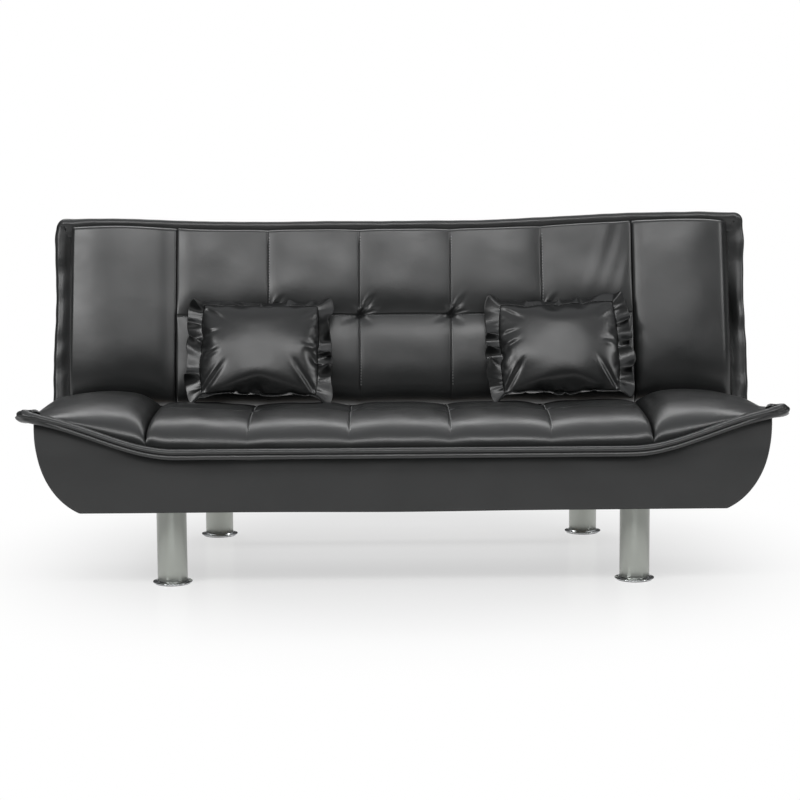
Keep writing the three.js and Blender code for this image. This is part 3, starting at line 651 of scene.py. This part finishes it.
back = {
    "face": 12,
    "bed": -38,
    "start": 9,
    "end": 477,
    "rowSeam": 243,
    "puff": 11,
    "tuftDepth": 17,
    "wingProud": 12,
    "wingDome": 15,
    "halfWidth": 870,
    "pitch": 240,
    "middle": 12,  # the quilted field is sewn this far off centre
    "skirt": 36,
    "creases": [(52, 72, 3.4, 8), (74, 40, 3, 2.5), (14, 66, 3.4, 3.5)]
    + [(132, 44, 4, 2), (208, 60, 5, 2), (-38, 52, 4, 2.2)],
}
backSeams = [back["middle"] + k * back["pitch"] for k in (-1.5, -0.5, 0.5, 1.5)]
backBorders = [back["middle"] + k * back["pitch"] for k in (-2.5, 2.5)]


def backTop(x, y):
    relief = quilting(x, y, back, backSeams, backBorders, (30, 450))
    drape = smoothstep(y, 250, 330) * np.exp(-(((x - 535 - 0.2 * (y - 243)) / 60) ** 2))
    relief += 1.5 * drape * ripple(x - 0.35 * y, y * 0.12, 14, 52)
    return back["face"] + 7 + relief + 0.6 * ripple(x, y, 8, 130)


def backLift(x, y):
    # The top edge hangs a little between its two corners, and the right one stands higher.
    rise = 12 * smoothstep(-x, 430, 780) + 20 * smoothstep(x, 150, 760) - 6 * smoothstep(x, 790, 905)
    return rise * smoothstep(y, 240, 480)


backSides = (backBorders[0] + 0.5, backBorders[1] - 0.5, 8, 8)
backEnds = (back["start"], back["end"], 130, 15)


def backBed(x, y):
    # The three pads are sewn together well above their beds.
    seam = 44 * np.exp(-((seamDistance(x, backBorders) / 32) ** 2))
    return back["bed"] + seam * rolledRise(y, *backEnds)


def backSurface(x, y):
    low = backBed(x, y)
    z = low + (backTop(x, y) - low) * rolledRise(x, *backSides) * rolledRise(y, *backEnds)
    return np.stack([x, y + backLift(x, y), z], -1)


backField = cushion(
    "back quilted field",
    rolledAxis(*backSides, 7, backSeams),
    rolledAxis(*backEnds, 7, [back["rowSeam"]], 24),
    backBed,
    backTop,
    back["skirt"],
    backPlace,
    sofaLeather,
    "backrest",
    lift=backLift,
)
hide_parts("back_front_cover", "back_foam")


backStitches = stitching(
    "back stitching",
    [((x + off, 52), (x + off, back["rowSeam"] - 14)) for x in backSeams]
    + [((x + off, back["rowSeam"] + 16), (x + off, 458)) for x in backSeams]
    + [((x0 + 16, back["rowSeam"] - off), (x1 - 16, back["rowSeam"] - off))
       for x0, x1 in zip([backBorders[0]] + backSeams, backSeams + [backBorders[1]])],
    backSurface,
    backPlace,
    thread,
    "backrest",
)


def backWingTop(x, y):
    dome = back["wingDome"] * np.sin(np.clip((np.abs(x - back["middle"] * 0.5) - 600) / 268, 0, 1) * math.pi)
    return back["face"] + back["wingProud"] - 5 + dome + 0.7 * ripple(x, y, 9, 170)


for side, sign in (("left", -1), ("right", 1)):
    inner, outer = abs(backBorders[0 if sign < 0 else 1]) + 0.5, back["halfWidth"]
    # The left pad rolls over slowly towards the quilted field, and the right one away from it.
    span = (inner, outer, 44, 34) if sign > 0 else (-outer, -inner, 16, 78)
    wing = cushion(
        f"back end pad {side}",
        rolledAxis(*span, 7, (), 16),
        rolledAxis(back["start"], back["end"], 190, 18, 7, (), 24),
        backBed,
        backWingTop,
        back["skirt"],
        backPlace,
        sofaLeather,
        "backrest",
        lift=backLift,
    )

backLip = {
    "halfWidth": 907,
    "end": 498,
    "start": 13,
    "corner": 20,
    "depth": -32,
    "topForward": 13,
    "topLean": 0.2,
    "sideLean": 0.25,
    "twist": 0.35,
}
backLipSection = smoothLoop(
    [(-46, 5), (-30, 6), (-20, 7.5), (-10, 9), (-2, 7.5), (3, 2.5), (3.5, -3)]
    + [(0, -7), (-6, -8), (-14, -6), (-30, -6), (-46, -6)],
    44,
)


def makeBackLip():
    half, start, end = backLip["halfWidth"], backLip["start"], backLip["end"]
    corners = [(-half, start), (-half, end), (half, end), (half, start)]
    plan, normals = roundedPath(corners, backLip["corner"], 6)
    x, y = plan[:, 0], plan[:, 1]
    along = np.cumsum(np.r_[0, np.hypot(np.diff(x), np.diff(y))])
    top = smoothstep(y, end - 60, end)
    side = 1 - top
    bow = 3.0 * side * ripple(y, y * 0, 31, 320)
    depth = backLip["depth"] + backLip["topForward"] * smoothstep(y, end - 160, end)
    depth = depth + 2.5 * ripple(along, along * 0, 32, 260)
    path = np.stack([x + normals[:, 0] * bow, y + backLift(x, y), depth], -1)
    outward = np.stack([normals[:, 0], normals[:, 1], np.zeros_like(x)], -1)
    forward = np.tile([0.0, 0.0, 1.0], (len(x), 1))
    # The welt leans forward a little, and is twisted half way up its right side.
    twist = backLip["twist"] * side * (x > 0) * np.exp(-(((y - 250) / 60) ** 2))
    lean = backLip["topLean"] * top + backLip["sideLean"] * side + twist
    c, s = np.cos(lean)[:, None], np.sin(lean)[:, None]
    outward, forward = outward * c + forward * s, forward * c - outward * s
    part = np.arange(backLipSection.shape[0])[None, :] * 0.35
    corner = np.exp(-((np.hypot(np.abs(x) - half, y - end) / 45) ** 2))
    wobble = (1.1 * side + 0.4 + 3.6 * corner)[:, None] * ripple(along[:, None], part * 10, 33, 70)
    outer = smoothstep(backLipSection[:, 0], -40, -12)[None, :]
    section = backLipSection[None] + (wobble * outer)[..., None] * np.array([0.8, 0.7])
    return sweep("back welt", path, outward, forward, section, backPlace, lipLeather, "backrest")


backWelt = makeBackLip()
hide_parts("back_lip")

tray = {"halfWidth": 880, "end": 478, "rear": -149}
rearCover = cushion(
    "back rear cover",
    rolledAxis(-tray["halfWidth"], tray["halfWidth"], 60, 60, 24),
    rolledAxis(back["start"], tray["end"], 50, 55, 18),
    lambda x, y: np.full_like(x, -78.0),
    lambda x, y: tray["rear"] + 1.2 * ripple(x, y, 41, 160),
    -40,
    backPlace,
    boxLeather,
    "backrest",
    flip=True,
)
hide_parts("back_rear_cover")
print("backrest built")

pillow = {
    "width": 306,  # of its two flat panels
    "height": 250,
    "weave": 5.5,  # spacing of the simulated cloth's points
    "pressure": 4.0,
    "steps": 17,
    "frill": 38,
    "foldLength": 68,
    "x": {"left": -366, "right": 410},
    "turn": {"left": -1.2, "right": 1.6},  # degrees
    "slope": 8,  # further back than the backrest
    "up": 138,
    "out": 66,
    "evened": 14,  # rounds of smoothing over the middle of its face
    "rearDepth": 46,
}
# Creases by start, angle, turn and shift per seed, length, width and depth.
pillowCreases = [
    ((-0.98, -0.98), 50, 1, 0, 120, 5, 6),
    ((0.98, -0.98), 128, -1, 0, 125, 5, 6),
    ((-0.98, 0.9), -36, 0, 0, 80, 6, 4),
    ((0.98, 0.94), 214, 0, 0, 70, 6, 3),
    ((-0.98, -0.35), 24, 0, 0.04, 62, 5, 4),
    ((-0.98, 0.3), 8, 0, 0, 54, 5, 3),
    ((0.98, 0.1), 176, 0, 0, 48, 6, 3),
]


def pillowPlace(side):
    at = Matrix.Translation((pillow["x"][side] * mm, pillow["up"] * mm, pillow["out"] * mm))
    turn = Matrix.Rotation(math.radians(pillow["turn"][side]), 4, "Z")
    return backPlace @ at @ Matrix.Rotation(math.radians(-pillow["slope"]), 4, "X") @ turn


def pillowPanels(seed):
    # Two flat panels sewn together round their edge, as points, faces, and the edge's points in order.
    width, height = pillow["width"], pillow["height"]
    columns, rows = int(width / pillow["weave"]) + 1, int(height / pillow["weave"]) + 1
    across, up = np.linspace(-width / 2, width / 2, columns), np.linspace(-height / 2, height / 2, rows)
    x, y = np.meshgrid(across, up)
    slack = np.sqrt(np.clip((1 - (2 * x / width) ** 2) * (1 - (2 * y / height) ** 2), 0, 1))
    frontZ = slack * (8 + 1.2 * ripple(x, y, seed, 90))
    rearZ = -slack * (8 + 1.2 * ripple(x, y, seed + 2, 90))
    inner = np.zeros(x.shape, bool)
    inner[1:-1, 1:-1] = True
    front = np.arange(x.size).reshape(x.shape)
    rear = front.copy()
    rear[inner] = x.size + np.arange(inner.sum())
    # Cut a little fuller half way along each side, so that the sides draw in to nearly straight.
    u, v = 2 * x / width, 2 * y / height
    x, y = x * (1 + 0.075 * (1 - v**2)), y * (1 + 0.09 * (1 - u**2))
    points = np.concatenate(
        [np.stack([x, y, frontZ], -1).reshape(-1, 3), np.stack([x, y, rearZ], -1)[inner]]
    )
    faces = []
    for r in range(rows - 1):
        for c in range(columns - 1):
            faces.append(tuple(front[[r, r, r + 1, r + 1], [c, c + 1, c + 1, c]].tolist()))
            faces.append(tuple(rear[[r, r + 1, r + 1, r], [c, c, c + 1, c + 1]].tolist()))
    edge = np.concatenate([front[0, :-1], front[:-1, -1], front[-1, :0:-1], front[:0:-1, 0]])
    return points, faces, edge, front


def inflate(piece, pressure, steps):
    # Lets the cloth swell without gravity, and returns where its points come to lie.
    cloth = piece.modifiers.new("swelling", "CLOTH")
    cloth.settings.quality = 6
    cloth.settings.mass = 0.3
    cloth.settings.tension_stiffness = 15
    cloth.settings.compression_stiffness = 15
    cloth.settings.shear_stiffness = 7.5
    cloth.settings.bending_stiffness = 0.3
    cloth.settings.air_damping = 2
    cloth.settings.use_pressure = True
    cloth.settings.uniform_pressure_force = pressure
    cloth.settings.effector_weights.gravity = 0
    cloth.collision_settings.use_collision = False
    cloth.point_cache.frame_start = 1
    cloth.point_cache.frame_end = steps
    for step in range(1, steps + 1):
        scene.frame_set(step)
    swollen = piece.evaluated_get(bpy.context.evaluated_depsgraph_get()).data
    points = np.empty(len(swollen.vertices) * 3)
    swollen.vertices.foreach_get("co", points)
    piece.modifiers.remove(cloth)
    scene.frame_set(1)
    return points.reshape(-1, 3) / mm


def pillowBody(side, seed):
    # Returns the body and the edge that the frill is sewn to, in the pillow's own millimetres.
    flat, faces, edge, front = pillowPanels(seed)
    body = makePiece(f"pillow {side}", flat, faces, Matrix(), pillowLeather, f"pillow_{side}")
    u, v = flat[:, 0] / np.abs(flat[:, 0]).max(), flat[:, 1] / np.abs(flat[:, 1]).max()
    points = inflate(body, pillow["pressure"], pillow["steps"])
    face = points[front]
    for _ in range(pillow["evened"]):
        near = (face[:-2, 1:-1] + face[2:, 1:-1] + face[1:-1, :-2] + face[1:-1, 2:]) / 4
        flatness = (1 - u[front] ** 4) * (1 - v[front] ** 4)
        face[1:-1, 1:-1] += 0.6 * flatness[1:-1, 1:-1, None] * (near - face[1:-1, 1:-1])
    points[front] = face
    # Short gathers run in from the seam, and the rear is pressed flatter by the backrest.
    seam = np.minimum((1 - np.abs(u)) * pillow["width"] / 2, (1 - np.abs(v)) * pillow["height"] / 2)
    gather = np.exp(-(((seam - 7) / 13) ** 2)) * smoothstep(seam, 0, 6) * (1 - 0.5 * np.abs(u) * np.abs(v))
    along = np.where(np.abs(u) > np.abs(v) * 0.9 + 0.1, flat[:, 1], flat[:, 0])
    points[:, 2] += np.sign(points[:, 2]) * 1.5 * gather * ripple(along, seam * 0.3, seed + 4, 15)
    # Longer creases run in from its corners and its left side.
    outer = (seam > 1) & (points[:, 2] > 0)
    halfWide, halfHigh = pillow["width"] / 2, pillow["height"] / 2
    for start, angle, turn, shift, length, width, depth in pillowCreases:
        spot = (start[0] * halfWide, (start[1] + shift * seed) * halfHigh)
        fold = crease(flat[outer, 0], flat[outer, 1], spot, angle + turn * seed, length, width, depth)
        points[outer, 2] += fold
    rearward = points[:, 2] < 0
    deepest = pillow["rearDepth"]
    points[rearward, 2] = -deepest * np.tanh(-points[rearward, 2] / deepest)
    body.data.vertices.foreach_set("co", (points * mm).ravel())
    body.data.transform(pillowPlace(side))
    body.data.update()
    smooth = body.modifiers.new("rounded cloth", "SUBSURF")
    smooth.levels = smooth.render_levels = 1
    return body, points[edge]


def pillowFrill(side, seed, edge):
    # A gathered strip sewn into the seam. Along the foot it lies out on the seat.
    count = 760  # points along the strip
    lengths = np.r_[0, np.cumsum(np.linalg.norm(np.diff(np.vstack([edge, edge[:1]]), axis=0), axis=1))]
    at = np.linspace(0, lengths[-1], count, endpoint=False)
    closed = np.vstack([edge, edge[:1]])
    seamLine = np.stack([np.interp(at, lengths, closed[:, k]) for k in range(3)], -1)
    blur = np.exp(-((np.arange(-22, 23) / 9.0) ** 2))
    blur /= blur.sum()
    blurred = [np.convolve(np.tile(seamLine[:, k], 3), blur, "same") for k in range(3)]
    soft = np.stack([line[count : 2 * count] for line in blurred], -1)
    tangent = np.roll(soft, -2, 0) - np.roll(soft, 2, 0)
    tangent[:, 2] = 0
    tangent /= np.linalg.norm(tangent, axis=1)[:, None]
    outward = np.stack([tangent[:, 1], -tangent[:, 0], np.zeros(count)], -1)
    # How far each stretch bends forward out of the pillow's plane: the foot forward, the head back.
    foot, head = smoothstep(-outward[:, 1], 0.55, 0.95), smoothstep(outward[:, 1], 0.55, 0.95)
    bend = np.radians(68 * foot - 40 * head + 10 * (1 - foot - head) + 12 * ripple(at, 0 * at, seed + 1, 150))
    forward = np.array([0.0, 0.0, 1.0])
    out = outward * np.cos(bend)[:, None] + forward * np.sin(bend)[:, None]
    normal = forward * np.cos(bend)[:, None] - outward * np.sin(bend)[:, None]
    turns = round(lengths[-1] / pillow["foldLength"])
    phase = 2 * math.pi * at / lengths[-1]
    warp = turns * phase + 1.3 * np.sin(4 * phase + seed) + 1.1 * np.sin(7 * phase + 2 * seed)
    corner = np.abs(outward[:, 0] * outward[:, 1]) * 2
    size = np.clip(0.95 + 0.5 * ripple(at, 0 * at, seed + 2, 90), 0.35, 1.5) * (1 - 0.7 * foot - 0.85 * head)
    size = size + 0.4 * corner * (1 - foot)
    hump = head * (0.5 + 0.5 * ripple(at, 0 * at, seed + 5, 150))
    uneven = 0.1 * ripple(at, 0 * at, seed + 3, 70)
    reach = pillow["frill"] * (1 + uneven + 0.2 * corner - 0.62 * head + 0.3 * hump)
    rows = []
    for w in np.linspace(0, 1, 15):
        # The folds slant, fan out, and turn over towards the hem.
        wave = warp + 0.9 * w * np.sin(3 * phase + seed) + 0.5 * w * np.sin(8 * phase)
        depth = size * (1.0 + 11.5 * w**0.9) * (np.sin(wave) + 0.3 * np.sin(2 * wave + 1 + seed))
        slide = size * 8.5 * w * np.cos(wave + 0.4)
        hem = -2.6 * size * w**3 * (1 + np.cos(wave))
        rows.append(
            soft * w
            + seamLine * (1 - w)
            + out * (reach * (w - 0.04) + hem)[:, None]
            + normal * depth[:, None]
            + tangent * slide[:, None]
        )
    strip = np.stack(rows)
    faces = gridFaces(*strip.shape[:2], wrapColumns=True)
    place = pillowPlace(side)
    points = strip.reshape(-1, 3)
    frill = makePiece(f"pillow frill {side}", points, faces, place, pillowLeather, f"pillow_{side}")
    thick = frill.modifiers.new("turned cloth", "SOLIDIFY")
    thick.thickness = 1.8 * mm
    thick.offset = 0
    # One strip, 1.3 m long before it was gathered.
    return frill


for side, seed in (("left", 3), ("right", 8)):
    body, edge = pillowBody(side, seed)
    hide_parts(f"pillow_cover_{side}", f"pillow_insert_{side}")
    pillowFrill(side, seed + 20, edge)
print("pillows built")

leg = {"radius": 37, "flange": 49}


def lathe(name, profile, at, material, body, sides=72):
    angles = np.arange(sides) * 2 * math.pi / sides
    points = np.array([[(r * math.cos(a), r * math.sin(a), z) for a in angles] for r, z in profile])
    faces = gridFaces(len(profile), sides, wrapColumns=True)
    faces.append(tuple(range(sides))[::-1])
    faces.append(tuple((len(profile) - 1) * sides + k for k in range(sides)))
    return makePiece(name, points.reshape(-1, 3), faces, Matrix.Translation(at), material, body)


for place in ("front_left", "front_right", "rear_left", "rear_right"):
    low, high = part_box(f"leg_{place}")
    at = Vector(((low[0] + high[0]) / 2, (low[1] + high[1]) / 2, 0))
    r, flange = leg["radius"], leg["flange"]
    tube = lathe(
        f"leg {place}",
        [(r - 1.5, 5.5), (r - 0.4, 5.5), (r, 6), (r, 192.5), (r + 9, 193), (r + 9, 197)],
        at,
        satinSteel,
        "base",
    )
    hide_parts(f"leg_{place}")
    ring = lathe(
        f"foot flange {place}",
        [(flange - 1, 2.2), (flange, 2.6), (flange, 4.4), (flange - 0.8, 5.0), (r + 4, 5.4)]
        + [(r + 1.6, 6.2), (r + 0.6, 8), (r + 0.4, 8), (r + 0.3, 5)],
        at,
        chrome,
        "base",
    )
    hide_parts(f"foot_flange_{place}")
print("legs built")

camera = bpy.data.objects.new("camera", bpy.data.cameras.new("camera"))
scene.collection.objects.link(camera)
scene.camera = camera
camera.data.lens = 102.2
camera.data.sensor_width = 36
camera.location = (-0.055, cadBounds[0][1] - 5.340, 1.224)
camera.rotation_euler = Euler((math.radians(90 - 7.97), math.radians(0.38), math.radians(-0.558)))
camera.data.clip_end = 60


def areaLight(name, at, aim, size, power, color="#ffffff"):
    light = bpy.data.lights.new(name, "AREA")
    light.shape = "RECTANGLE"
    light.size, light.size_y = size
    light.energy = power
    light.color = linear(color)[:3]
    lamp = bpy.data.objects.new(name, light)
    scene.collection.objects.link(lamp)
    lamp.location = at
    lamp.rotation_euler = (Vector(aim) - Vector(at)).to_track_quat("-Z", "Y").to_euler()


areaLight("front softbox", (0.05, -2.3, 2.75), (0, 0.2, 0.62), (3.3, 0.6), 54)
areaLight("rear top strip", (0, 1.5, 2.0), (0, -0.2, 0.4), (3.0, 0.5), 20)
areaLight("left softbox", (-2.5, -2.2, 2.5), (0, 0, 0.5), (0.9, 1.0), 36)
areaLight("right softbox", (3.0, -1.3, 2.3), (0, 0, 0.5), (0.8, 1.2), 25)

floorMesh = bpy.data.meshes.new("floor")
floorMesh.from_pydata([(-60, -60, 0), (60, -60, 0), (60, 60, 0), (-60, 60, 0)], [], [(0, 1, 2, 3)])
floor = bpy.data.objects.new("floor", floorMesh)
scene.collection.objects.link(floor)


def sweepFloor():
    # White polished floor mixed with a painted glow: an emission at 0.6 strength round the sofa, which fills in
    # the shade beneath it, rising to full strength from 1.25 m out so the floor loses its horizon.
    material, tree, shader = newMaterial("white floor with painted glow", Base_Color=linear("#f2f2f1"), Roughness=0.18)
    place = addNode(tree, "ShaderNodeTexCoord").outputs["Object"]
    away = addNode(tree, "ShaderNodeVectorMath", {"operation": "LENGTH"})
    tree.links.new(place, away.inputs[0])
    fade = addNode(
        tree,
        "ShaderNodeMapRange",
        {"interpolation_type": "SMOOTHSTEP", "From Min": 0.5, "From Max": 1.25, "To Min": 0.6, "To Max": 1.0},
        Value=away.outputs["Value"],
    )
    # Painted light: this emission fills in the floor's shade near the sofa and whites the floor out further away.
    glow = addNode(tree, "ShaderNodeEmission", {"Color": (1, 1, 1, 1), "Strength": 1.0})
    blend = addNode(tree, "ShaderNodeMixShader", Fac=fade.outputs["Result"])
    tree.links.new(shader.outputs["BSDF"], blend.inputs[1])
    tree.links.new(glow.outputs["Emission"], blend.inputs[2])
    tree.links.new(blend.outputs["Shader"], tree.nodes["Material Output"].inputs["Surface"])
    return material


floorMesh.materials.append(sweepFloor())

world = bpy.data.worlds.new("studio")
scene.world = world
world.use_nodes = True
tree = world.node_tree
tree.nodes.clear()
rays = addNode(tree, "ShaderNodeLightPath")
heading = addNode(tree, "ShaderNodeTexCoord").outputs["Generated"]
height = addNode(tree, "ShaderNodeSeparateXYZ", Vector=heading).outputs["Z"]
dome = addNode(
    tree,
    "ShaderNodeMapRange",
    {"From Min": 0.35, "From Max": 0.95, "To Min": 0.07, "To Max": 0.85},
    Value=height,
)
fill = addNode(tree, "ShaderNodeBackground", {"Color": (0.97, 0.98, 1, 1)}, Strength=dome.outputs["Result"])
white = addNode(tree, "ShaderNodeBackground", {"Color": (1, 1, 1, 1), "Strength": 1.0})
mix = addNode(tree, "ShaderNodeMixShader")
tree.links.new(rays.outputs["Is Camera Ray"], mix.inputs["Fac"])
tree.links.new(fill.outputs["Background"], mix.inputs[1])
tree.links.new(white.outputs["Background"], mix.inputs[2])
addNode(tree, "ShaderNodeOutputWorld", Surface=mix.outputs["Shader"])
scene.view_settings.view_transform = "Standard"
print("studio lit")
